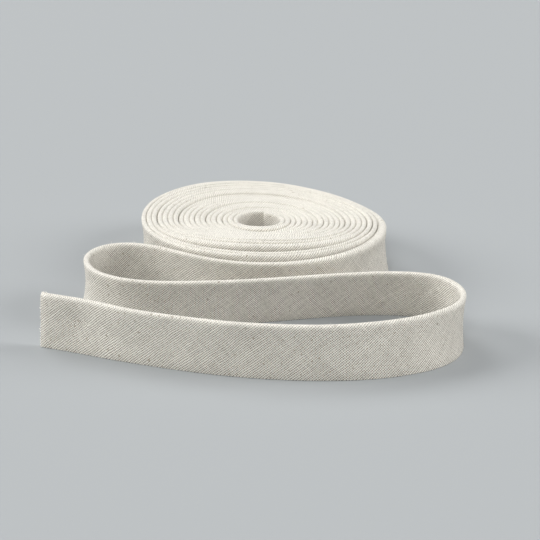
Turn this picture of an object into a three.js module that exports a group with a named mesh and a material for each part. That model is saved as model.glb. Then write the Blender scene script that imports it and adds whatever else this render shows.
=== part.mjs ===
// A roll of double-fold bias binding, lying on its side, with its loose end standing on edge
// in an S in front of it. Millimetres, +Z up. The tape is one strip of linen: both raw edges are
// folded in, then the strip is folded once more, so it is four layers thick with a round fold on top.
import * as THREE from 'three';

// The finished tape
const tapeWidth = 20;
const tapeThickness = 1.7;
const linen = { color: 0xe2dccd, roughness: 0.92, metalness: 0 };

// The wound roll. Angles run anticlockwise from +X, seen from above, and winding angles go on past 360.
const outerTurnRadius = 50.6;    // middle of the tape where the loose end leaves the roll
const turnPitch = 2.24;          // from one turn to the next
const leavingAngle = -100;       // where the loose end leaves
const innerEndAngle = 82;        // where the tape starts, inside the hole
const wholeTurns = 18;
const stepsPerTurn = 40;
const crestShare = 0.2;          // half of each turn's flat top, as a share of the pitch
const grooveDepth = 0.8;         // how far the round folds drop between two turns
const waist = 0.9;               // the tape's middle is drawn in where it bends
const flareShape = 0.45;         // a slack foot swings out, most of it close under the rim
const wallShares = [0.8, 0.5, 0.2, 0]; // heights of the points down a wall

// How far the hand-wound roll is out of round at its rim and at its hole, and how far the foot of
// its slack outermost turn swings out, a row for each 30 degrees
const outline = [
  { bearing: 0, rim: -0.6, hole: 0.3, flare: 3.5 },
  { bearing: 30, rim: -4.6, hole: 0.8, flare: 2.8 },
  { bearing: 60, rim: -4.8, hole: 1.3, flare: 1.4 },
  { bearing: 90, rim: -0.9, hole: 1.4, flare: 0.3 },
  { bearing: 120, rim: 2.4, hole: 1.0, flare: 0 },
  { bearing: 150, rim: 1.0, hole: 0.6, flare: 0 },
  { bearing: 180, rim: -0.4, hole: 0.3, flare: 0 },
  { bearing: 210, rim: -0.4, hole: -0.5, flare: 0 },
  { bearing: 240, rim: 0.1, hole: -1.3, flare: 0 },
  { bearing: 270, rim: 0.5, hole: -1.9, flare: 0 },
  { bearing: 300, rim: 0.2, hole: -1.5, flare: 1.8 },
  { bearing: 330, rim: -0.1, hole: -0.6, flare: 3.3 },
];

// How far each turn's fold stands above the tape's width where it passes the front and then the
// back of the roll, from the outermost turn inwards; the inner turns are a little narrower
const turnRise = [
  { front: 0.0, back: 0.0 },
  { front: 2.2, back: 0.2 },
  { front: 2.3, back: 0.0 },
  { front: 1.5, back: -0.2 },
  { front: 1.4, back: -0.3 },
  { front: 1.1, back: -0.5 },
  { front: 0.8, back: -0.5 },
  { front: 0.6, back: -1.4 },
  { front: 0.4, back: -1.4 },
  { front: 0.1, back: -1.3 },
  { front: -0.1, back: -1.2 },
  { front: -0.3, back: -1.1 },
  { front: -1.1, back: -1.3 },
  { front: -1.0, back: -1.2 },
  { front: -0.9, back: -1.1 },
  { front: -0.8, back: -1.6 },
  { front: -0.7, back: -1.5 },
  { front: -1.2, back: -1.4 },
  { front: -1.1, back: -1.3 },
];

// The loose end: where its lower edge stands, and how far its top edge leans to the right
// for someone walking from the roll to the cut end
const looseEnd = [
  { x: -31.9, y: -40.6, lean: 0 },
  { x: -37.8, y: -36.9, lean: 0 },
  { x: -48.9, y: -33.0, lean: -0.4 },
  { x: -58.7, y: -34.6, lean: -0.9 },
  { x: -65.2, y: -42.3, lean: -1.2 },
  { x: -65.9, y: -52.5, lean: -1.4 },
  { x: -59.6, y: -63.6, lean: -0.6 },
  { x: -48.4, y: -68.8, lean: 0.9 },
  { x: -36.0, y: -69.1, lean: 2.2 },
  { x: -14.0, y: -64.9, lean: 3.8 },
  { x: 7.5, y: -59.2, lean: 4.7 },
  { x: 28.0, y: -53.8, lean: 4.9 },
  { x: 48.0, y: -50.8, lean: 4.5 },
  { x: 62.0, y: -52.4, lean: 3.8 },
  { x: 70.9, y: -59.5, lean: 2 },
  { x: 74.5, y: -72.0, lean: 0.3 },
  { x: 72.7, y: -84.1, lean: 1.9 },
  { x: 64.3, y: -94.6, lean: 4.1 },
  { x: 47.2, y: -102.9, lean: 3.4 },
  { x: 22.4, y: -107.0, lean: 1.4 },
  { x: -10.0, y: -104.9, lean: 0.2 },
  { x: -43.3, y: -97.0, lean: 0.5 },
  { x: -60.0, y: -91.4, lean: 2.4 },
  { x: -75.5, y: -86.3, lean: 2.1 },
];
const looseSteps = 112;
const seamGap = 0.4;             // between the roll and the start of the loose end
const leavingArcs = [0, 5, 10, 15, 20]; // degrees over which the loose end still follows the roll
const waistRadius = 20;          // a bend this tight draws the middle in fully
const footShare = 0.3;           // half of the flat foot and top, as a share of the thickness
const edgeRound = 0.55;          // height of the rounding at the top and bottom edges

const radians = THREE.MathUtils.degToRad;
const endAngle = leavingAngle + 360 * wholeTurns + (innerEndAngle - leavingAngle);

// A smooth curve through four even values, t of the way from b to c
function blend(a, b, c, d, t) {
  const slopeIn = (c - a) / 2;
  const slopeOut = (d - b) / 2;
  const t2 = t * t;
  const t3 = t2 * t;
  return (2 * t3 - 3 * t2 + 1) * b + (t3 - 2 * t2 + t) * slopeIn + (3 * t2 - 2 * t3) * c + (t3 - t2) * slopeOut;
}

function outOfRound(angle, column) {
  const place = (THREE.MathUtils.euclideanModulo(angle, 360) * outline.length) / 360;
  const row = Math.floor(place);
  const out = (step) => outline[(row + step + outline.length) % outline.length][column];
  return blend(out(-1), out(0), out(1), out(2), place - row);
}

// Radius of the tape's middle at a winding angle; the turns between rim and hole are rounder
function windingRadius(angle) {
  const turned = (angle - leavingAngle) / (endAngle - leavingAngle);
  const rimShare = (1 - turned) ** 2;
  const holeShare = turned ** 4;
  const round = outerTurnRadius - (turnPitch * (angle - leavingAngle)) / 360;
  return round + rimShare * outOfRound(angle, 'rim') + holeShare * outOfRound(angle, 'hole');
}

// Radius of the boundary between a turn and the next one inwards
function boundaryRadius(angle) {
  return (windingRadius(angle) + windingRadius(angle + 360)) / 2;
}

// Height of the fold at a winding angle; the front is at a bearing of 270, the back at 90
function windingHeight(angle) {
  const halfTurns = turnRise.flatMap(({ front, back }) => [front, back]);
  const place = Math.max((angle + 90) / 180, 0);
  const row = Math.min(Math.floor(place), halfTurns.length - 2);
  return tapeWidth + THREE.MathUtils.lerp(halfTurns[row], halfTurns[row + 1], place - row);
}

function polar(radius, angle, height) {
  return [radius * Math.cos(radians(angle)), radius * Math.sin(radians(angle)), height];
}

// How far the middle of the tape is drawn in at a share of its height
function drawnIn(share, amount) {
  return amount * (1 - (2 * share - 1) ** 2);
}

// Collects points and faces, and turns them into one geometry
class Shell {
  points = [];
  faces = [];

  add(point) {
    this.points.push(point);
    return this.points.length - 1;
  }

  quad(a, b, c, d) {
    this.faces.push(a, b, c, a, c, d);
  }

  // Faces between two lists of points, walked side by side
  strip(left, right) {
    for (let i = 0; i + 1 < left.length; i += 1) {
      this.quad(left[i], right[i], right[i + 1], left[i + 1]);
    }
  }

  geometry() {
    const made = new THREE.BufferGeometry();
    made.setAttribute('position', new THREE.Float32BufferAttribute(this.points.flat(), 3));
    made.setIndex(this.faces);
    made.computeVertexNormals();
    return made;
  }
}

// The wound roll: a spiral of round folds on top, the rim with the step where the loose end leaves,
// and the hole with the step of the inner end
function woundRoll() {
  const shell = new Shell();
  const last = Math.round(((endAngle - leavingAngle) / 360) * stepsPerTurn);
  const angleAt = (i) => leavingAngle + (i * 360) / stepsPerTurn;

  // The groove between crest i and the one outside it; at the rim and the hole only one of them is there
  const grooves = new Map();
  for (let i = -stepsPerTurn; i <= last; i += 1) {
    const beside = [i, i + stepsPerTurn].filter((j) => j >= 0 && j <= last);
    const height = Math.min(...beside.map((j) => windingHeight(angleAt(j)))) - grooveDepth;
    grooves.set(i, shell.add(polar(boundaryRadius(angleAt(i)), angleAt(i), height)));
  }

  // Columns of points down the outer wall or the wall of the hole, from the groove to the table
  function wall(first, flared) {
    return Array.from({ length: stepsPerTurn + 1 }, (_, step) => {
      const i = first + step;
      const column = wallShares.map((share) => {
        const flare = flared ? outOfRound(angleAt(i), 'flare') * (1 - share) ** flareShape : 0;
        const radius = boundaryRadius(angleAt(i)) - drawnIn(share, waist) + flare;
        return shell.add(polar(radius, angleAt(i), share * tapeWidth));
      });
      return [grooves.get(i), ...column];
    });
  }
  const rim = wall(-stepsPerTurn, true);
  const hole = wall(last - stepsPerTurn, false);

  const crests = [];
  for (let i = 0; i <= last; i += 1) {
    const angle = angleAt(i);
    const half = crestShare * turnPitch;
    const outer = shell.add(polar(windingRadius(angle) + half, angle, windingHeight(angle)));
    const inner = shell.add(polar(windingRadius(angle) - half, angle, windingHeight(angle)));
    crests.push({ outer, inner });
  }

  for (let i = 0; i < last; i += 1) {
    const here = crests[i];
    const next = crests[i + 1];
    const outside = i - stepsPerTurn;
    shell.quad(grooves.get(outside), grooves.get(outside + 1), next.outer, here.outer);
    shell.quad(here.outer, next.outer, next.inner, here.inner);
    shell.quad(here.inner, next.inner, grooves.get(i + 1), grooves.get(i));
  }
  for (let i = 0; i + 1 < rim.length; i += 1) {
    shell.strip(rim[i + 1], rim[i]);
  }
  for (let i = 0; i + 1 < hole.length; i += 1) {
    shell.strip(hole[i], hole[i + 1]);
  }

  // The two ends of the wound tape, as upright faces
  const rimStart = rim[0];
  const rimEnd = rim[rim.length - 1];
  shell.strip(rimStart, rimEnd);
  shell.quad(rimStart[0], crests[0].outer, crests[0].inner, rimEnd[0]);
  const holeStart = hole[0];
  const holeEnd = hole[hole.length - 1];
  shell.strip(holeEnd, holeStart);
  shell.quad(holeStart[0], holeEnd[0], crests[last].inner, crests[last].outer);

  // The flat underside
  const foot = (columns) => columns.map((column) => column[column.length - 1]);
  const flat = (index) => new THREE.Vector2(shell.points[index][0], shell.points[index][1]);
  const around = foot(rim);
  const inside = foot(hole).toReversed();
  const all = [...around, ...inside];
  for (const [a, b, c] of THREE.ShapeUtils.triangulateShape(around.map(flat), [inside.map(flat)])) {
    shell.faces.push(all[a], all[c], all[b]);
  }
  return shell.geometry();
}

// The line on which the loose end stands, with its lean as the third number
function looseLine() {
  const gapAngle = THREE.MathUtils.radToDeg(seamGap / outerTurnRadius);
  const leaving = leavingArcs.map((arc) => {
    const angle = leavingAngle - gapAngle - arc;
    return new THREE.Vector3(...polar(boundaryRadius(angle) + seamGap + tapeThickness / 2, angle, 0));
  });
  const rows = looseEnd.map(({ x, y, lean }) => new THREE.Vector3(x, y, lean));
  return new THREE.CatmullRomCurve3([...leaving, ...rows], false, 'centripetal');
}

// Points of the tape's section: sideways as a share of half the thickness, and height in millimetres
function tapeSection() {
  const right = [
    { side: footShare * 2, height: 0 },
    { side: 1, height: edgeRound },
    { side: 1, height: tapeWidth * 0.28 },
    { side: 1, height: tapeWidth * 0.5 },
    { side: 1, height: tapeWidth * 0.72 },
    { side: 1, height: tapeWidth - edgeRound },
    { side: footShare * 2, height: tapeWidth },
  ];
  const left = right.toReversed().map(({ side, height }) => ({ side: -side, height }));
  return [...right, ...left];
}

function looseTape() {
  const shell = new Shell();
  const line = looseLine();
  const stations = line.getSpacedPoints(looseSteps);
  const section = tapeSection();
  const rings = stations.map((station, i) => {
    const before = stations[Math.max(i - 1, 0)];
    const after = stations[Math.min(i + 1, looseSteps)];
    const along = new THREE.Vector2(after.x - before.x, after.y - before.y).normalize();
    const toRight = new THREE.Vector2(along.y, -along.x);
    const lean = station.z;
    const upright = Math.sqrt(1 - (lean / tapeWidth) ** 2);
    const bend = bendToRight(stations, i);
    return section.map(({ side, height }) => {
      const share = height / tapeWidth;
      const sideways = (side * tapeThickness) / 2 + lean * share + drawnIn(share, waist * bend);
      return shell.add([
        station.x + toRight.x * sideways,
        station.y + toRight.y * sideways,
        height * upright,
      ]);
    });
  });

  for (let i = 0; i < looseSteps; i += 1) {
    for (let j = 0; j < section.length; j += 1) {
      const k = (j + 1) % section.length;
      shell.quad(rings[i][j], rings[i + 1][j], rings[i + 1][k], rings[i][k]);
    }
  }
  for (let j = 0; 2 * j + 2 < section.length; j += 1) {
    const k = section.length - 1 - j;
    const first = rings[0];
    const end = rings[looseSteps];
    shell.quad(first[j], first[j + 1], first[k - 1], first[k]);
    shell.quad(end[j], end[k], end[k - 1], end[j + 1]);
  }
  return shell.geometry();
}

// From -1 to 1: how tightly the loose end bends to the left or right at a station
function bendToRight(stations, i) {
  const at = Math.min(Math.max(i, 2), stations.length - 3);
  const [a, b, c] = [stations[at - 2], stations[at], stations[at + 2]];
  const into = Math.atan2(b.y - a.y, b.x - a.x);
  const out = Math.atan2(c.y - b.y, c.x - b.x);
  const turn = Math.atan2(Math.sin(into - out), Math.cos(into - out));
  const length = Math.hypot(c.x - a.x, c.y - a.y) / 2;
  return THREE.MathUtils.clamp((turn / length) * waistRadius, -1, 1);
}

function piece(name, geometry) {
  const mesh = new THREE.Mesh(geometry, new THREE.MeshStandardMaterial(linen));
  mesh.name = name;
  return mesh;
}

// The origin is on the table, under the middle of the whole part
const binding = new THREE.Group();
binding.add(piece('wound_roll', woundRoll()));
binding.add(piece('loose_end', looseTape()));
const middle = new THREE.Box3().setFromObject(binding).getCenter(new THREE.Vector3());
binding.position.set(-middle.x, -middle.y, 0);

export default binding;
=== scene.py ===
import random
from math import cos, exp, floor, hypot, pi, radians, sin, sqrt

import bmesh
import bpy
from mathutils import Matrix, Vector, noise


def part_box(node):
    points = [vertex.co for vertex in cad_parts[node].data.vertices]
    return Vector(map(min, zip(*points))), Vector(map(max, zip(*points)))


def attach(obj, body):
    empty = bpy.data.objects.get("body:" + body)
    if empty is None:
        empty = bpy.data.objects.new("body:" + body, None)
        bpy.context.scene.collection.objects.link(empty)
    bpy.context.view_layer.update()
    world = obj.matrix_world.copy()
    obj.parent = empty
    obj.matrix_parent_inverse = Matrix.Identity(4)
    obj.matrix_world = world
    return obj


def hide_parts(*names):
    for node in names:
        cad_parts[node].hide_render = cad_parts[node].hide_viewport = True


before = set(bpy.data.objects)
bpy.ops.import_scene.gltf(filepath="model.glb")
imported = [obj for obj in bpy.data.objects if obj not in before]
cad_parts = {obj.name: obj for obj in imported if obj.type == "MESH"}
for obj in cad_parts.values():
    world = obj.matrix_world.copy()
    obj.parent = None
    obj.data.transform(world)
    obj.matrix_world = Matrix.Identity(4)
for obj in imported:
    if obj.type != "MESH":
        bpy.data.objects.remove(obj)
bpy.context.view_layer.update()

# All sizes are in millimetres and angles in degrees; metres turns a size into Blender's unit
metres = 0.001

cameraSettings = {
    "place": (4.7, -440.4, 186.1),
    "pitchDown": 22.0,
    "roll": 1.5,
    "lens": 80.0,          # with the 36 mm sensor below, a field 25.4 degrees wide
    "sensor": 36.0,
}

# The strip of linen and how it is folded: two edges in, then once along the middle
tape = {
    "width": 20.0,
    "cloth": 0.4,          # one layer
    "innerLayer": 0.22,    # from the middle of the tape to the middle of a folded-in layer
    "outerLayer": 0.64,    # and of an outer layer
    "topFold": 0.86,       # half the width of the round fold at its widest, on the loose end
    "topFoldHeight": 0.75,
    "foldReach": 5.5,      # the fold swells over this much of the width
    "pressed": 0.4,        # a fold pressed between its neighbours is squarer on top than a free one
    "free": 0.85,
    # where the section has points between the folds, in a folded-in layer and in an outer one
    "innerHeights": (18.4, 13.5, 9.0, 4.8),
    "outerHeights": (3.4, 6.0, 8.6, 11.2, 13.6, 15.4, 16.9),
    "foldSteps": 4,        # faces round a bottom fold
    "topSteps": 6,         # faces round the top fold
}

# The hand-wound roll, in its own polar frame: anticlockwise from +X, winding angles run on past 360
roll = {
    "centre": (49.61, 52.18),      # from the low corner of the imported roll
    "outerTurnRadius": 50.6,
    "turnPitch": 2.24,
    "leavingAngle": -100,
    "endAngle": 6562,              # 18 turns and a half further in
    "innermostFrom": 6200,         # from here on no turn lies further in
    "waist": 0.9,                  # the middle of the tape is drawn in where it bends
    "flareShape": 0.45,            # a slack foot swings out, most of it close under the rim
    "innerShape": 2.0,             # but the layers on the roll's side stay against the next turn
    "flareFold": 0.22,             # and the round fold is wider there by this share
    "flareUntil": 170,             # it has died away by this winding angle,
    "flareFades": 60,              # over this many degrees
    "shoulder": 0.55,              # slope of a fold where it stands proud of the next turn
    "openAir": 0.4,                # with this much air beside it a fold is fully round
    "sag": 0.06,                   # how far a face may cut inside the true curve
    "riseNoise": 0.16,             # unevenness by hand: size, degrees it takes, row of the noise
    "riseNoiseOver": 61,
    "riseNoiseRow": 7.7,
    "radiusNoise": 0.07,
    "radiusNoiseOver": 47,
    "radiusNoiseRow": 3.1,
    # out of round at each 30 degrees, at the rim and at the hole
    "rim": (-0.6, -4.6, -4.8, -0.9, 2.4, 1.0, -0.4, -0.4, 0.1, 0.5, 0.2, -0.1),
    "hole": (-0.5, 0.4, 1.2, 1.4, 1.0, 0.1, -0.5, -0.9, -1.4, -1.9, -1.6, -1.1),
    "flare": (3.5, 2.8, 1.4, 0.3, 0.0, 0.0, 0.0, 0.0, 0.0, 0.0, 1.8, 3.3),  # of the outermost foot
    # how far each turn stands proud at the front, right, back and left, from the outermost inwards
    "rise": (
        (0.0, 0.0, 0.0, 0.2), (2.2, 0.6, 0.2, 0.3), (2.4, 0.9, 0.0, 0.2), (4.3, 0.6, -0.2, 0.0),
        (4.0, 0.5, -0.3, -0.1), (4.35, 0.3, -0.5, -0.2), (4.6, 0.2, -0.5, -0.3),
        (4.1, -0.4, -1.4, -0.8), (3.5, -0.5, -1.4, -0.7), (3.0, -0.4, -1.3, -0.8),
        (2.4, -0.6, -1.2, -0.7), (1.8, -0.6, -1.1, -0.8), (1.2, -1.1, -1.5, -1.2),
        (0.5, -1.0, -1.4, -1.1), (-0.2, -1.0, -1.3, -1.1), (-0.9, -1.1, -1.7, -1.3),
        (-1.6, -1.1, -1.6, -1.2), (-0.8, -1.0, -1.4, -1.3), (-1.0, -1.1, -1.3, -1.1),
    ),
    # air between each turn and the next one in, at the front, right, back and left
    "air": (
        (0.02, 0.12, 0.05, 0.08), (0.05, 0.16, 0.20, 0.00), (0.25, 0.24, 0.08, 0.26),
        (0.02, 0.06, 0.02, 0.00), (0.22, 0.04, 0.02, 0.04), (0.18, 0.08, 0.08, 0.10),
        (0.02, 0.22, 0.38, 0.34), (0.02, 0.10, 0.05, 0.00), (0.05, 0.02, 0.02, 0.02),
        (0.02, 0.06, 0.08, 0.10), (0.10, 0.14, 0.05, 0.02), (0.02, 0.04, 0.28, 0.26),
        (0.05, 0.08, 0.02, 0.00), (0.02, 0.02, 0.05, 0.08), (0.05, 0.08, 0.12, 0.18),
        (0.05, 0.14, 0.05, 0.02), (0.25, 0.08, 0.16, 0.12), (0.08, 0.08, 0.08, 0.05),
    ),
}

# The loose end: where its lower edge stands, from the roll to the cut end, in the roll's frame,
# and how far its top leans to the right of someone walking that way
looseEnd = {
    "step": 2.4,
    "smoothing": 3,
    "bendSmoothing": 9,
    "leavingArcs": (0, 5, 10, 15, 20),    # its first points still follow the roll, in degrees
    "settles": 20.0,       # the wound form passes into the loose one over this length
    "waistRadius": 20.0,   # a bend of this radius draws the waist in as far as on the roll
    "rows": (
        (-31.9, -40.6, 0), (-37.8, -36.9, 0), (-48.9, -33.0, -0.4), (-58.7, -34.6, -0.9),
        (-65.2, -42.3, -1.2), (-65.9, -52.5, -1.4), (-59.6, -63.6, -0.6), (-48.4, -68.8, 0.9),
        (-36.0, -69.1, 2.2), (-14.0, -64.9, 3.8), (7.5, -59.2, 4.7), (28.0, -53.8, 4.9),
        (48.0, -50.8, 4.5), (62.0, -52.4, 3.8), (70.9, -59.5, 2.0), (74.5, -72.0, 0.3),
        (72.7, -84.1, 1.9), (64.3, -94.6, 4.1), (47.2, -102.9, 3.4), (22.4, -107.0, 1.4),
        (-10.0, -104.9, 0.2), (-43.3, -97.0, 0.5), (-60.0, -91.4, 2.4), (-75.5, -86.3, 2.1),
    ),
    "rippleSize": 0.16,    # soft puckers along the faces
    "endRipple": 0.55,     # and deeper ones near the cut end
    "endReach": 45.0,
    "rippleAlong": 21.0,
    "rippleUp": 11.0,
    "rippleRow": 2.3,      # of the noise
    # soft dents: distance from the cut end, height, reach along, reach up, slant, depth
    "dents": (
        (16.0, 11.0, 6.5, 3.2, 0.3, 1.4), (5.0, 14.0, 5.0, 3.2, 0.0, -0.35),
        (33.0, 7.5, 8.0, 4.0, 0.35, 0.6), (27.0, 14.0, 7.0, 3.0, 0.2, -0.3),
    ),
    "dentBehind": 0.5,     # the layers at the back follow a dent by half
}


def linear(hexColour):
    channels = [int(hexColour[i:i + 2], 16) / 255 for i in (1, 3, 5)]
    return [c / 12.92 if c <= 0.04045 else ((c + 0.055) / 1.055) ** 2.4 for c in channels] + [1]


def smoothStep(t):
    t = min(max(t, 0.0), 1.0)
    return t * t * (3 - 2 * t)


# The camera

def makeCamera(settings):
    data = bpy.data.cameras.new("camera")
    data.lens = settings["lens"]
    data.sensor_width = settings["sensor"]
    seen = bpy.data.objects.new("camera", data)
    bpy.context.scene.collection.objects.link(seen)
    tilt = Matrix.Rotation(radians(90 - settings["pitchDown"]), 4, "X")
    turn = Matrix.Rotation(radians(settings["roll"]), 4, "Z")
    seen.matrix_world = Matrix.Translation(Vector(settings["place"]) * metres) @ tilt @ turn
    bpy.context.scene.camera = seen


makeCamera(cameraSettings)
print("camera placed")


# The line of the tape, from its inner end in the hole, out through the turns, to the cut end

def outOfRound(angle, values):
    place = (angle % 360) * len(values) / 360
    row = floor(place)
    t = place - row
    a, b, c, d = (values[(row + step) % len(values)] for step in (-1, 0, 1, 2))
    bend = (2 * t**3 - 3 * t**2 + 1) * b + (3 * t**2 - 2 * t**3) * c
    return bend + (t**3 - 2 * t**2 + t) * (c - a) / 2 + (t**3 - t**2) * (d - b) / 2


def turnRadius(angle):
    turned = (angle - roll["leavingAngle"]) / (roll["endAngle"] - roll["leavingAngle"])
    even = roll["outerTurnRadius"] - roll["turnPitch"] * (angle - roll["leavingAngle"]) / 360
    atRim = (1 - turned) ** 2 * outOfRound(angle, roll["rim"])
    return even + atRim + turned**4 * outOfRound(angle, roll["hole"])


# Blends a table's values along the tape: its rows follow each other, and each starts at the front
def alongTurns(angle, table):
    values = [value for row in table for value in row]
    place = max((angle + 90) / 360 * len(table[0]), 0)
    row = min(floor(place), len(values) - 2)
    t = smoothStep(min(place - row, 1))
    return values[row] * (1 - t) + values[row + 1] * t


# A station is one place along the tape: where it is, and how its section stands and is folded there
def woundStations():
    stations = []
    angle = roll["endAngle"]
    while angle > roll["leavingAngle"]:
        outermost = angle <= roll["leavingAngle"] + 360
        innermost = angle >= roll["innermostFrom"]
        radius = turnRadius(angle)
        airLeft = roll["openAir"] if outermost else alongTurns(angle - 360, roll["air"])
        airRight = roll["openAir"] if innermost else alongTurns(angle, roll["air"])
        toOuter = turnRadius(angle - 360) - radius - airLeft
        toInner = radius - turnRadius(angle + 360) - airRight
        fade = smoothStep((roll["flareUntil"] - angle) / roll["flareFades"])
        flare = fade * outOfRound(angle, roll["flare"])
        rise = alongTurns(angle, roll["rise"])
        proudLeft = 0 if outermost else max(rise - alongTurns(angle - 360, roll["rise"]), 0)
        proudRight = max(rise - alongTurns(angle + 360, roll["rise"]), 0)
        wobble = noise.noise(Vector((angle / roll["radiusNoiseOver"], roll["radiusNoiseRow"], 0)))
        uneven = noise.noise(Vector((angle / roll["riseNoiseOver"], 0, roll["riseNoiseRow"])))
        stations.append({
            "x": (radius + roll["radiusNoise"] * wobble) * cos(radians(angle)),
            "y": (radius + roll["radiusNoise"] * wobble) * sin(radians(angle)),
            "lean": 0.0,
            "rise": rise + roll["riseNoise"] * uneven,
            "waist": roll["waist"],
            "flare": flare,
            "left": ((toOuter - tape["cloth"]) / 2 + roll["flareFold"] * flare, proudLeft, airLeft),
            "right": ((toInner - tape["cloth"]) / 2, proudRight, airRight),
            "wound": 1.0,
        })
        angle -= sqrt(8 * roll["sag"] / radius) * 180 / pi    # a chord of this angle sags that far
    return stations


# A smooth curve through the points, without loops where they are close together, as dense points
def curveThrough(points, perSpan=24):
    ends = [2 * points[0] - points[1], *points, 2 * points[-1] - points[-2]]
    dense = []
    for a, b, c, d in zip(ends, ends[1:], ends[2:], ends[3:]):
        before, span, after = (sqrt((q - p).length) for p, q in ((a, b), (b, c), (c, d)))
        slopeIn = ((b - a) / before - (c - a) / (before + span) + (c - b) / span) * span
        slopeOut = ((c - b) / span - (d - b) / (span + after) + (d - c) / after) * span
        for step in range(perSpan):
            t = step / perSpan
            dense.append((2 * t**3 - 3 * t**2 + 1) * b + (t**3 - 2 * t**2 + t) * slopeIn
                         + (3 * t**2 - 2 * t**3) * c + (t**3 - t**2) * slopeOut)
    return dense + [points[-1]]


def evenlySpaced(dense, step):
    lengths = [0.0]
    for a, b in zip(dense, dense[1:]):
        lengths.append(lengths[-1] + hypot(b.x - a.x, b.y - a.y))
    count = round(lengths[-1] / step)
    spaced, at = [], 0
    for i in range(count + 1):
        wanted = lengths[-1] * i / count
        while at < len(dense) - 2 and lengths[at + 1] < wanted:
            at += 1
        share = (wanted - lengths[at]) / (lengths[at + 1] - lengths[at])
        spaced.append(dense[at].lerp(dense[at + 1], share))
    return spaced


def averaged(values, times):
    for _ in range(times):
        middle = [(a + 2 * b + c) / 4 for a, b, c in zip(values, values[1:], values[2:])]
        values = [values[0], *middle, values[-1]]
    return values


looseFold = (tape["topFold"], 0.0, roll["openAir"])    # half width, height proud, air beside it


def looseStations():
    start = []
    for arc in looseEnd["leavingArcs"]:
        angle = roll["leavingAngle"] - arc
        radius = turnRadius(angle)
        start.append(Vector((radius * cos(radians(angle)), radius * sin(radians(angle)), 0)))
    line = curveThrough(start + [Vector(row) for row in looseEnd["rows"]])
    line = averaged(evenlySpaced(line, looseEnd["step"]), looseEnd["smoothing"])
    bends = [0.0]
    for a, b, c in zip(line, line[1:], line[2:]):
        cross = (b.x - a.x) * (c.y - b.y) - (b.y - a.y) * (c.x - b.x)
        bends.append(-cross / hypot(b.x - a.x, b.y - a.y) ** 3 * looseEnd["waistRadius"])
    bends = averaged(bends + [0.0], looseEnd["bendSmoothing"])
    stations = []
    for i, (point, bend) in enumerate(zip(line, bends)):
        atRoll = smoothStep(1 - i * looseEnd["step"] / looseEnd["settles"])
        waist = roll["waist"] * (atRoll + (1 - atRoll) * min(max(bend, -1), 1))
        stations.append({
            "x": point.x, "y": point.y, "lean": point.z, "rise": 0.0, "waist": waist, "flare": 0.0,
            "left": looseFold, "right": looseFold, "wound": atRoll,
        })
    return stations


# The left half of the folded strip seen on its cut end, from the raw edge inside to the top of the
# fold: how far each point lies to the right, and how high
def halfSection(fold, proud, air):
    inner, outer = tape["innerLayer"], tape["outerLayer"]
    bottomRadius = (outer - inner) / 2
    bottomMiddle = bottomRadius + tape["cloth"] / 2
    topMiddle = tape["width"] - tape["cloth"] / 2 - tape["topFoldHeight"]
    half = [(-inner, height) for height in tape["innerHeights"]]
    for step in range(tape["foldSteps"] + 1):
        turn = pi * step / tape["foldSteps"]
        side = -inner - bottomRadius * (1 - cos(turn))
        half.append((side, bottomMiddle - bottomRadius * sin(turn)))
    for height in tape["outerHeights"]:
        swell = smoothStep((height + proud - topMiddle + tape["foldReach"]) / tape["foldReach"])
        half.append((-outer - (fold - outer) * swell, height))
    roundness = tape["pressed"] + (tape["free"] - tape["pressed"]) * min(air / roll["openAir"], 1)
    for step in range(tape["topSteps"] // 2):
        turn = pi * step / tape["topSteps"]
        level = topMiddle + tape["topFoldHeight"] * sin(turn) ** roundness
        half.append((-fold * cos(turn) ** roundness, level))
    return half, (0.0, topMiddle + tape["topFoldHeight"])


# Where the tape stands proud of the next turn on one side, its fold slopes away from that turn
def foldedSection(left, right):
    leftHalf, top = halfSection(*left)
    rightHalf, _ = halfSection(*right)
    whole = [*leftHalf, top, *((-side, height) for side, height in reversed(rightHalf))]
    sloped = []
    for side, height in whole:
        fromLeft = max(height - tape["width"] + left[1], 0) * (1 - max(side, 0) / right[0])
        fromRight = max(height - tape["width"] + right[1], 0) * (1 - max(-side, 0) / left[0])
        sloped.append((side + roll["shoulder"] * (fromLeft - fromRight), height))
    return sloped


# How far from the middle of the flat strip each of the section's points is
def acrossStrip():
    section = foldedSection(looseFold, looseFold)
    lengths = [0.0]
    for (x0, z0), (x1, z1) in zip(section, section[1:]):
        lengths.append(lengths[-1] + hypot(x1 - x0, z1 - z0))
    return [length - lengths[-1] / 2 for length in lengths]


# How far the dents near the cut end press a point of the tape in
def dented(toCut, height):
    depth = 0.0
    for at, level, along, up, slant, deep in looseEnd["dents"]:
        u, v = toCut - at, height - level
        depth += deep * exp(-(u / along) ** 2 - ((v + slant * u) / up) ** 2)
    return depth


# Puckers and dents push a point of the loose end sideways
def rippled(atLength, toCut, side, height):
    share = min(max(height / tape["width"], 0), 1)
    toEnd = smoothStep(1 - toCut / looseEnd["endReach"])
    size = looseEnd["rippleSize"] + looseEnd["endRipple"] * toEnd * sin(pi * share)
    along, up = atLength / looseEnd["rippleAlong"], height / looseEnd["rippleUp"]
    ripple = size * noise.noise(Vector((along, up, looseEnd["rippleRow"])))
    return ripple + dented(toCut, height) * (1 if side < 0 else looseEnd["dentBehind"])


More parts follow.
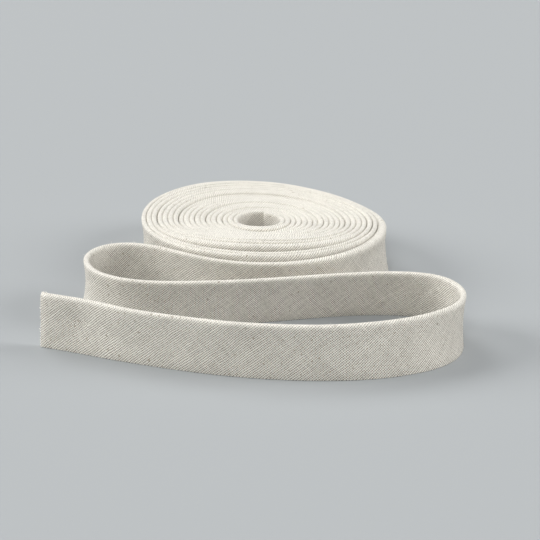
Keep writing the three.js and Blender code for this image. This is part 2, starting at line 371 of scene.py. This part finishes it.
# Where a point of the section stands: the section crosses the tape's line at its station
def standing(station, centre, right, side, height, ripple):
    share = max(height / tape["width"], 0)
    drawnIn = station["waist"] * (1 - (2 * share - 1) ** 2)
    opened = roll["flareShape"] if side < 0 else roll["innerShape"]
    flare = station["flare"] * max(1 - share, 0) ** opened
    sideways = side + station["lean"] * share + drawnIn - flare + ripple * (1 - station["wound"])
    upright = sqrt(1 - (station["lean"] / tape["width"]) ** 2)
    rise = max(station["rise"], 0) + share * min(station["rise"], 0)
    return Vector((
        centre.x + station["x"] + right.x * sideways,
        centre.y + station["y"] + right.y * sideways,
        height * upright + rise,
    )) * metres


# The flat strip is a grid, as it was cut; each of its points then goes where folding and winding put it
def makeTape():
    stations = woundStations() + looseStations()
    across = acrossStrip()
    along = [0.0]
    for a, b in zip(stations, stations[1:]):
        along.append(along[-1] + hypot(b["x"] - a["x"], b["y"] - a["y"]))
    low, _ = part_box("wound_roll")
    centre = Vector((roll["centre"][0] + low.x / metres, roll["centre"][1] + low.y / metres))

    mesh = bmesh.new()
    columns, rows = len(stations) - 1, len(across) - 1
    bmesh.ops.create_grid(mesh, x_segments=columns, y_segments=rows, size=1)
    cloth = mesh.loops.layers.uv.new("cloth")
    sections = [foldedSection(station["left"], station["right"]) for station in stations]
    placeInGrid = {}
    edges = {"cut": {}, "beforeCut": {}, "fold": {}}    # lines of points that the threads need
    for vert in mesh.verts:
        i = round((vert.co.x + 1) / 2 * columns)
        j = round((vert.co.y + 1) / 2 * rows)
        placeInGrid[vert] = (i, j)
        before, after = stations[max(i - 1, 0)], stations[min(i + 1, columns)]
        dx, dy = after["x"] - before["x"], after["y"] - before["y"]
        right = Vector((dy, -dx)) / hypot(dx, dy)
        side, height = sections[i][j]
        ripple = rippled(along[i], along[-1] - along[i], side, height)
        vert.co = standing(stations[i], centre, right, side, height, ripple)
        if i == columns:
            edges["cut"][j] = vert.co.copy()
        if i == columns - 1:
            edges["beforeCut"][j] = vert.co.copy()
        if j == rows // 2:
            edges["fold"][i] = vert.co.copy()
    for face in mesh.faces:
        face.smooth = True
        for loop in face.loops:
            i, j = placeInGrid[loop.vert]
            loop[cloth].uv = (along[i], across[j])
    data = bpy.data.meshes.new("bias_tape")
    mesh.to_mesh(data)
    mesh.free()
    piece = bpy.data.objects.new("bias_tape", data)
    bpy.context.scene.collection.objects.link(piece)
    thickness = piece.modifiers.new("cloth thickness", "SOLIDIFY")
    thickness.thickness = tape["cloth"] * metres
    thickness.offset = 0
    lines = {name: [line[key] for key in sorted(line)] for name, line in edges.items()}
    return piece, lines, along[-1], across


biasTape, tapeEdges, tapeLength, stripAcross = makeTape()


# What the scissors and the hand leave: cut yarns standing out of the end, and lint on the folds
threads = {
    "cutEvery": 0.5,
    "cutSpread": (0.75, 1.25),
    "yarnRadius": (0.1, 0.15),
    "rooted": 0.5,                 # how far a cut yarn goes back into the cloth
    "reach": (0.05, 0.45),         # and how far it stands out
    "longReach": (0.5, 0.9),       # or, for one in nine
    "longOneIn": 9,
    "slant": 43.0,                 # warp and weft both meet the cut at about this slant
    "slantSpread": 12.0,
    "stray": 0.3,                  # how far a tip strays, for each unit of length
    "bendAt": 0.6,
    "taper": (1.0, 1.0, 1.05, 0.55),
    "tuft": 9,                     # yarns standing up on the corner of the fold
    "tuftHeight": (0.5, 0.95),
    "tuftLength": 2.6,             # they stand within this far of the cut
    "tuftRooted": 0.15,
    "tuftLean": 0.5,
    "tuftCurl": 0.3,
    "tuftBendAt": 0.4,
    "tuftTaper": (1.0, 1.0, 0.6),
    "hairs": 90,
    "hairShare": 0.28,             # the last of the stations, where the tape is loose
    "hairRadius": 0.028,
    "hairLength": (0.6, 1.9),
    "hairRooted": 0.1,
    "hairPoints": (0.0, 0.3, 0.6, 1.0),
    "hairUp": (0.2, 1.0),
    "hairCurl": 0.5,
    "hairCurlUp": (-0.6, 0.6),
    "weld": 0.001,                 # points of a thread's mesh closer than this become one
}


# Threads are given as points and a radius at each of them
def makeThreads(name, lines):
    curve = bpy.data.curves.new(name, "CURVE")
    curve.dimensions = "3D"
    curve.bevel_depth = metres    # so that a point's radius is in millimetres
    curve.bevel_resolution = 1
    curve.use_fill_caps = True
    for points, radii in lines:
        spline = curve.splines.new("POLY")
        spline.points.add(len(points) - 1)
        for point, place, radius in zip(spline.points, points, radii):
            point.co = (place.x, place.y, max(place.z, radius * metres), 1)    # none goes into the floor
            point.radius = radius
    holder = bpy.data.objects.new(name, curve)
    data = bpy.data.meshes.new_from_object(holder)
    bpy.data.objects.remove(holder)
    mesh = bmesh.new()
    mesh.from_mesh(data)
    bmesh.ops.remove_doubles(mesh, verts=mesh.verts, dist=threads["weld"] * metres)
    bmesh.ops.recalc_face_normals(mesh, faces=mesh.faces)
    for face in mesh.faces:
        face.smooth = True
    mesh.to_mesh(data)
    mesh.free()
    piece = bpy.data.objects.new(name, data)
    bpy.context.scene.collection.objects.link(piece)
    return piece


# Each cut yarn leaves the edge slantwise, first one way and then the other
def cutYarns(chance):
    lines = []
    cut, before = tapeEdges["cut"], tapeEdges["beforeCut"]
    at = stripAcross[0] + threads["cutEvery"] / 2
    way = 1
    while at < stripAcross[-1]:
        row = max(j for j, edge in enumerate(stripAcross[:-1]) if edge <= at)
        share = (at - stripAcross[row]) / (stripAcross[row + 1] - stripAcross[row])
        root = cut[row].lerp(cut[row + 1], share)
        outward = (cut[row] - before[row]).normalized()
        sideways = (cut[row + 1] - cut[row]).normalized() * way
        spread = chance.uniform(-threads["slantSpread"], threads["slantSpread"])
        slant = radians(threads["slant"] + spread)
        run = outward * cos(slant) + sideways * sin(slant)
        loose = Vector([chance.uniform(-1, 1) for _ in range(3)]) * threads["stray"]
        isLong = chance.random() < 1 / threads["longOneIn"]
        reach = chance.uniform(*threads["longReach" if isLong else "reach"]) * metres
        radius = chance.uniform(*threads["yarnRadius"])
        points = [root - run * threads["rooted"] * metres, root,
                  root + run * reach * threads["bendAt"],
                  root + (run + loose).normalized() * reach]
        lines.append((points, [radius * part for part in threads["taper"]]))
        at += threads["cutEvery"] * chance.uniform(*threads["cutSpread"])
        way = -way
    return lines


# Yarns that have worked loose stand up where the fold is cut
def cornerTuft(chance):
    lines = []
    stray = threads["stray"]
    corner, behind = tapeEdges["fold"][-1], tapeEdges["fold"][-3]
    outward = (corner - behind).normalized()
    down = Vector((0, 0, threads["tuftRooted"])) * metres
    for _ in range(threads["tuft"]):
        root = corner - outward * chance.uniform(0, threads["tuftLength"]) * metres - down
        up = Vector((chance.uniform(-stray, stray), chance.uniform(-stray, stray), 1))
        lean = up + outward * threads["tuftLean"]
        tall = chance.uniform(*threads["tuftHeight"]) * metres
        radius = chance.uniform(*threads["yarnRadius"])
        points = [root, root + lean * tall * threads["tuftBendAt"],
                  root + (lean + outward * threads["tuftCurl"]) * tall]
        lines.append((points, [radius * part for part in threads["tuftTaper"]]))
    return lines


# Hairs stand up from the fold in any direction and curl
def lint(chance):
    lines = []
    fold = tapeEdges["fold"]
    firstLoose = len(fold) - round(len(fold) * threads["hairShare"])
    down = Vector((0, 0, threads["hairRooted"])) * metres
    for _ in range(threads["hairs"]):
        i = chance.randrange(firstLoose, len(fold) - 1)
        root = fold[i].lerp(fold[i + 1], chance.random()) - down
        run = Vector((chance.uniform(-1, 1), chance.uniform(-1, 1), chance.uniform(*threads["hairUp"])))
        run.normalize()
        curl = Vector((chance.uniform(-1, 1), chance.uniform(-1, 1),
                       chance.uniform(*threads["hairCurlUp"])))
        long = chance.uniform(*threads["hairLength"]) * metres
        points = [root + (run * t + curl * threads["hairCurl"] * t * t) * long
                  for t in threads["hairPoints"]]
        lines.append((points, [threads["hairRadius"]] * len(points)))
    return lines


chance = random.Random(4)
yarnEnds = makeThreads("yarn_ends", cutYarns(chance) + cornerTuft(chance))
lintHairs = makeThreads("lint_hairs", lint(chance))
print("yarn ends and lint made")


# Materials

# Adds a node with its settings, and with links or values for its inputs
def addNode(tree, kind, inputs=None, **settings):
    node = tree.nodes.new(kind)
    for name, value in settings.items():
        setattr(node, name, value)
    for key, value in (inputs or {}).items():
        if isinstance(value, bpy.types.Node):
            value = value.outputs[0]
        if isinstance(value, bpy.types.NodeSocket):
            tree.links.new(value, node.inputs[key])
        else:
            node.inputs[key].default_value = value
    return node


linen = {
    "cream": "#f8f4e9",
    "shade": "#75695a",            # painted shade between the yarns
    "fleck": "#8d7f66",            # bits of stalk left in the yarn
    "mainYarn": 0.72,              # spacing, drawn a little wider than real so that the yarns show
    "mainAngle": 40.0,             # they climb this steeply against the tape
    "mainHeight": (0.24, 0.7),     # how much a yarn rises where it goes over, and its middle height
    "crossYarn": 0.6,
    "crossAngle": 47.0,
    "crossHeight": (-0.36, 0.6),   # the cross yarns go over where the main ones go under
    "relief": 0.24,                # millimetres for a height of 1
    "wobble": 0.22,                # the yarns don't run quite straight
    "wobbleOver": 9.0,             # millimetres
    "slubStretch": (7.31, 0.07, 1),    # slubs differ from yarn to yarn and are long along each
    "slubThickness": (0.7, 0.6),   # a yarn's least thickness, and how much more it may have
    "slubTone": (0.95, 1.03),
    "gap": (0.15, 0.68),           # the painted shade shows fully below the one height, not above the other
    "pressedReach": (0.8, 2.2),    # along the fold the yarns are pressed flat and close, with weaker relief and less painted gap shade, which paints the fold's top lighter
    "pressedShadeAndRelief": 0.64,
    "speckle": (0.86, 1.14),       # the painted shade in the gaps between the yarns is a little uneven
    "speckleSize": 0.7,
    "patchScale": 0.06,            # slow changes of tone, over about 17 mm
    "patchTone": (0.95, 1.03),
    "stalkScale": 0.8,
    "stalkFrom": (0.83, 0.87),     # only the noise's rare peaks are bits of stalk
    "stalkStrength": 0.6,
    "looseYarnTone": (0.82, 1.0),  # of the cut yarns and the hairs
    "looseYarnSpots": 0.8,
    "roughness": 0.92,
    "sheen": 0.12,
}
noiseMiddle = (0.35, 0.65)    # most of a noise's values lie between these
noiseSpread = (0.3, 0.7)      # and nearly all of them between these


# Both sets of yarns as waves across the strip: which yarn, how far along, how round it is there
def layYarns(tree, wavy, settings):
    yarns = {}
    for name, direction in (("main", 1), ("cross", -1)):
        slope = radians(settings[name + "Angle"])
        spacing = settings[name + "Yarn"]
        normal = (direction * sin(slope) / spacing, cos(slope) / spacing, 0)
        count = addNode(tree, "ShaderNodeVectorMath", {0: wavy, 1: normal}, operation="DOT_PRODUCT")
        number = addNode(tree, "ShaderNodeMath", {0: count.outputs["Value"]}, operation="FLOOR")
        phase = addNode(tree, "ShaderNodeMath", {0: count.outputs["Value"], 1: 2 * pi},
                        operation="MULTIPLY")
        wave = addNode(tree, "ShaderNodeMath", {0: phase}, operation="COSINE")
        swell = addNode(tree, "ShaderNodeMath", {0: wave, 1: -0.5, 2: 0.5}, operation="MULTIPLY_ADD")
        yarns[name] = {"count": count.outputs["Value"], "number": number, "round": swell}
    return yarns


# Each yarn goes over one and under the next, in turn, and is thicker and thinner along its length
def weaveYarns(tree, yarns, settings):
    for name, other in (("main", "cross"), ("cross", "main")):
        lift, level = settings[name + "Height"]
        least, more = settings["slubThickness"]
        along = yarns[other]["count"]
        both = addNode(tree, "ShaderNodeMath", {0: along, 1: yarns[name]["number"]}, operation="ADD")
        half = addNode(tree, "ShaderNodeMath", {0: both, 1: 0.5}, operation="SUBTRACT")
        turn = addNode(tree, "ShaderNodeMath", {0: half, 1: pi}, operation="MULTIPLY")
        over = addNode(tree, "ShaderNodeMath", {0: turn}, operation="COSINE")
        lifted = addNode(tree, "ShaderNodeMath", {0: over, 1: lift, 2: level},
                         operation="MULTIPLY_ADD")
        spot = addNode(tree, "ShaderNodeCombineXYZ", {0: yarns[name]["number"], 1: along})
        stretched = addNode(tree, "ShaderNodeVectorMath", {0: spot, 1: settings["slubStretch"]},
                            operation="MULTIPLY")
        slub = addNode(tree, "ShaderNodeTexNoise", {"Vector": stretched, "Scale": 1.0, "Detail": 1.0},
                       noise_dimensions="2D")
        body = addNode(tree, "ShaderNodeMath", {0: yarns[name]["round"], 1: lifted},
                       operation="MULTIPLY")
        thick = addNode(tree, "ShaderNodeMath", {0: slub, 1: more, 2: least},
                        operation="MULTIPLY_ADD")
        yarns[name]["slub"] = slub
        yarns[name]["height"] = addNode(tree, "ShaderNodeMath", {0: body, 1: thick},
                                        operation="MULTIPLY")
    return addNode(tree, "ShaderNodeMath", {
        0: yarns["main"]["height"], 1: yarns["cross"]["height"]}, operation="MAXIMUM")


# Where the yarns lie low, painted shade shows between them, by uneven amounts
def shadeGaps(tree, place, height, gapShadeAndRelief, settings):
    # painted shade between the yarns, deepest where they lie low
    gap = addNode(tree, "ShaderNodeMapRange", {
        "Value": height, "From Min": settings["gap"][0], "From Max": settings["gap"][1],
        "To Min": 1.0, "To Max": 0.0})
    spots = addNode(tree, "ShaderNodeTexNoise", {
        "Vector": place, "Scale": 1 / settings["speckleSize"], "Detail": 1.0}, noise_dimensions="2D")
    speckle = addNode(tree, "ShaderNodeMapRange", {
        "Value": spots.outputs[0], "From Min": noiseMiddle[0], "From Max": noiseMiddle[1],
        "To Min": settings["speckle"][0], "To Max": settings["speckle"][1]})
    uneven = addNode(tree, "ShaderNodeMath", {0: gap.outputs["Result"], 1: speckle.outputs["Result"]},
                     operation="MULTIPLY")
    shaded = addNode(tree, "ShaderNodeMath", {0: uneven, 1: gapShadeAndRelief.outputs["Result"]},
                     operation="MULTIPLY", use_clamp=True)
    return addNode(tree, "ShaderNodeMix", {
        "Factor": shaded, "A": linear(settings["cream"]), "B": linear(settings["shade"])},
        data_type="RGBA")


# Undyed yarns differ a little in tone, the cloth has slow patches, and bits of stalk show here and there
def toneYarns(tree, place, wavy, yarns, weave, settings):
    mainOnTop = addNode(tree, "ShaderNodeMath", {
        0: yarns["main"]["height"], 1: yarns["cross"]["height"]}, operation="GREATER_THAN")
    slubs = addNode(tree, "ShaderNodeMix", {
        "Factor": mainOnTop, "A": yarns["cross"]["slub"], "B": yarns["main"]["slub"]})
    slubTone = addNode(tree, "ShaderNodeMapRange", {
        "Value": slubs, "From Min": noiseSpread[0], "From Max": noiseSpread[1],
        "To Min": settings["slubTone"][0], "To Max": settings["slubTone"][1]})
    grain = addNode(tree, "ShaderNodeTexNoise", {
        "Vector": place, "Scale": settings["patchScale"], "Detail": 3.0}, noise_dimensions="2D")
    patch = addNode(tree, "ShaderNodeMapRange", {
        "Value": grain.outputs[0], "From Min": noiseSpread[0], "From Max": noiseSpread[1],
        "To Min": settings["patchTone"][0], "To Max": settings["patchTone"][1]})
    toned = addNode(tree, "ShaderNodeMath", {
        0: slubTone.outputs["Result"], 1: patch.outputs["Result"]}, operation="MULTIPLY")
    coloured = addNode(tree, "ShaderNodeVectorMath", {
        0: weave.outputs["Result"], "Scale": toned}, operation="SCALE")
    stalk = addNode(tree, "ShaderNodeTexNoise", {
        "Vector": wavy, "Scale": settings["stalkScale"], "Detail": 0.0}, noise_dimensions="2D")
    isStalk = addNode(tree, "ShaderNodeMapRange", {
        "Value": stalk, "From Min": settings["stalkFrom"][0], "From Max": settings["stalkFrom"][1],
        "To Min": 0.0, "To Max": settings["stalkStrength"]})
    return addNode(tree, "ShaderNodeMix", {
        "Factor": isStalk.outputs["Result"], "A": coloured, "B": linear(settings["fleck"])},
        data_type="RGBA")


# Undyed flax, plain woven from slightly slubby yarns, cut on the bias and pressed: matt and grainy, with
# painted shade between the yarns
def makeLinen(settings):
    material = bpy.data.materials.new("linen_plain_woven")
    material.use_nodes = True
    tree = material.node_tree
    surface = tree.nodes["Principled BSDF"]
    place = addNode(tree, "ShaderNodeUVMap", uv_map="cloth")
    slow = addNode(tree, "ShaderNodeTexNoise", {
        "Vector": place, "Scale": 1 / settings["wobbleOver"], "Detail": 2.0}, noise_dimensions="2D")
    centred = addNode(tree, "ShaderNodeVectorMath", {0: slow.outputs["Color"], 1: (0.5, 0.5, 0.5)},
                      operation="SUBTRACT")
    # the noise seldom strays more than a quarter from its middle
    shift = addNode(tree, "ShaderNodeVectorMath", {0: centred, "Scale": 4 * settings["wobble"]},
                    operation="SCALE")
    wavy = addNode(tree, "ShaderNodeVectorMath", {0: place, 1: shift}, operation="ADD")
    yarns = layYarns(tree, wavy, settings)
    height = weaveYarns(tree, yarns, settings)

    across = addNode(tree, "ShaderNodeSeparateXYZ", {0: place})
    fromFold = addNode(tree, "ShaderNodeMath", {0: across.outputs["Y"]}, operation="ABSOLUTE")
    # less painted gap shade and weaker relief along the fold, so the fold's top is painted lighter
    gapShadeAndRelief = addNode(tree, "ShaderNodeMapRange", {
        "Value": fromFold,
        "From Min": settings["pressedReach"][0], "From Max": settings["pressedReach"][1],
        "To Min": settings["pressedShadeAndRelief"], "To Max": 1.0})
    weave = shadeGaps(tree, place, height, gapShadeAndRelief, settings)
    flecked = toneYarns(tree, place, wavy, yarns, weave, settings)
    bump = addNode(tree, "ShaderNodeBump", {
        "Height": height, "Strength": gapShadeAndRelief.outputs["Result"],
        "Distance": settings["relief"] * metres})
    tree.links.new(flecked.outputs["Result"], surface.inputs["Base Color"])
    tree.links.new(bump.outputs["Normal"], surface.inputs["Normal"])
    surface.inputs["Roughness"].default_value = settings["roughness"]
    surface.inputs["Sheen Weight"].default_value = settings["sheen"]
    return material


# The same flax as single yarns and fibres, too fine for a weave: matt and pale, a little uneven
def makeYarn(settings):
    material = bpy.data.materials.new("linen_raw_yarn")
    material.use_nodes = True
    tree = material.node_tree
    surface = tree.nodes["Principled BSDF"]
    place = addNode(tree, "ShaderNodeTexCoord")
    spots = addNode(tree, "ShaderNodeTexNoise", {
        "Vector": place.outputs["Object"], "Scale": 1 / (settings["looseYarnSpots"] * metres),
        "Detail": 1.0})
    shade = addNode(tree, "ShaderNodeMapRange", {
        "Value": spots.outputs[0], "From Min": noiseMiddle[0], "From Max": noiseMiddle[1],
        "To Min": settings["looseYarnTone"][0], "To Max": settings["looseYarnTone"][1]})
    toned = addNode(tree, "ShaderNodeVectorMath", {
        0: linear(settings["cream"])[:3], "Scale": shade.outputs["Result"]}, operation="SCALE")
    tree.links.new(toned.outputs[0], surface.inputs["Base Color"])
    surface.inputs["Roughness"].default_value = settings["roughness"]
    surface.inputs["Sheen Weight"].default_value = settings["sheen"]
    return material


biasTape.data.materials.append(makeLinen(linen))
rawYarn = makeYarn(linen)
for piece in (yarnEnds, lintHairs):
    piece.data.materials.append(rawYarn)
    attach(piece, "root")
    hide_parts("loose_end")
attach(biasTape, "root")
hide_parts("wound_roll", "loose_end")
print("linen made")


# The floor, the lights and the room

studio = {
    "floorSize": 60000.0,
    "floor": "#a8abac",
    "floorRoughness": 0.95,
    "room": "#e9edf2",
    "roomStrength": 0.3,
    # daylight, even over the whole floor: where it comes from, how soft in degrees, how strong
    "windows": (
        ("window_behind", (-0.55, 0.65, 0.95), 26.0, 0.85),
        ("window_in_front", (-0.12, -0.79, 0.62), 27.0, 1.4),
        ("window_left", (-0.9, 0.06, 0.42), 28.0, 2.0),
        ("window_right", (0.9, 0.06, 0.42), 28.0, 1.65),
        ("skylight", (-0.05, -0.26, 0.96), 54.0, 0.2),
    ),
}


def makeStudio(settings):
    mesh = bmesh.new()
    bmesh.ops.create_grid(mesh, x_segments=1, y_segments=1, size=settings["floorSize"] / 2 * metres)
    data = bpy.data.meshes.new("floor")
    mesh.to_mesh(data)
    mesh.free()
    ground = bpy.data.objects.new("floor", data)
    bpy.context.scene.collection.objects.link(ground)
    paint = bpy.data.materials.new("floor_matt_paper")
    paint.use_nodes = True
    shader = paint.node_tree.nodes["Principled BSDF"]
    shader.inputs["Base Color"].default_value = linear(settings["floor"])
    shader.inputs["Roughness"].default_value = settings["floorRoughness"]
    data.materials.append(paint)
    world = bpy.data.worlds.new("room")
    world.use_nodes = True
    background = world.node_tree.nodes["Background"]
    background.inputs["Color"].default_value = linear(settings["room"])
    background.inputs["Strength"].default_value = settings["roomStrength"]
    bpy.context.scene.world = world
    for name, direction, softness, strength in settings["windows"]:
        window = bpy.data.lights.new(name, "SUN")
        window.angle = radians(softness)
        window.energy = strength
        holder = bpy.data.objects.new(name, window)
        holder.rotation_euler = Vector(direction).to_track_quat("Z", "Y").to_euler()
        bpy.context.scene.collection.objects.link(holder)


makeStudio(studio)
bpy.context.scene.view_settings.view_transform = "Standard"    # whites stay as clean as in the photo
print("studio made")
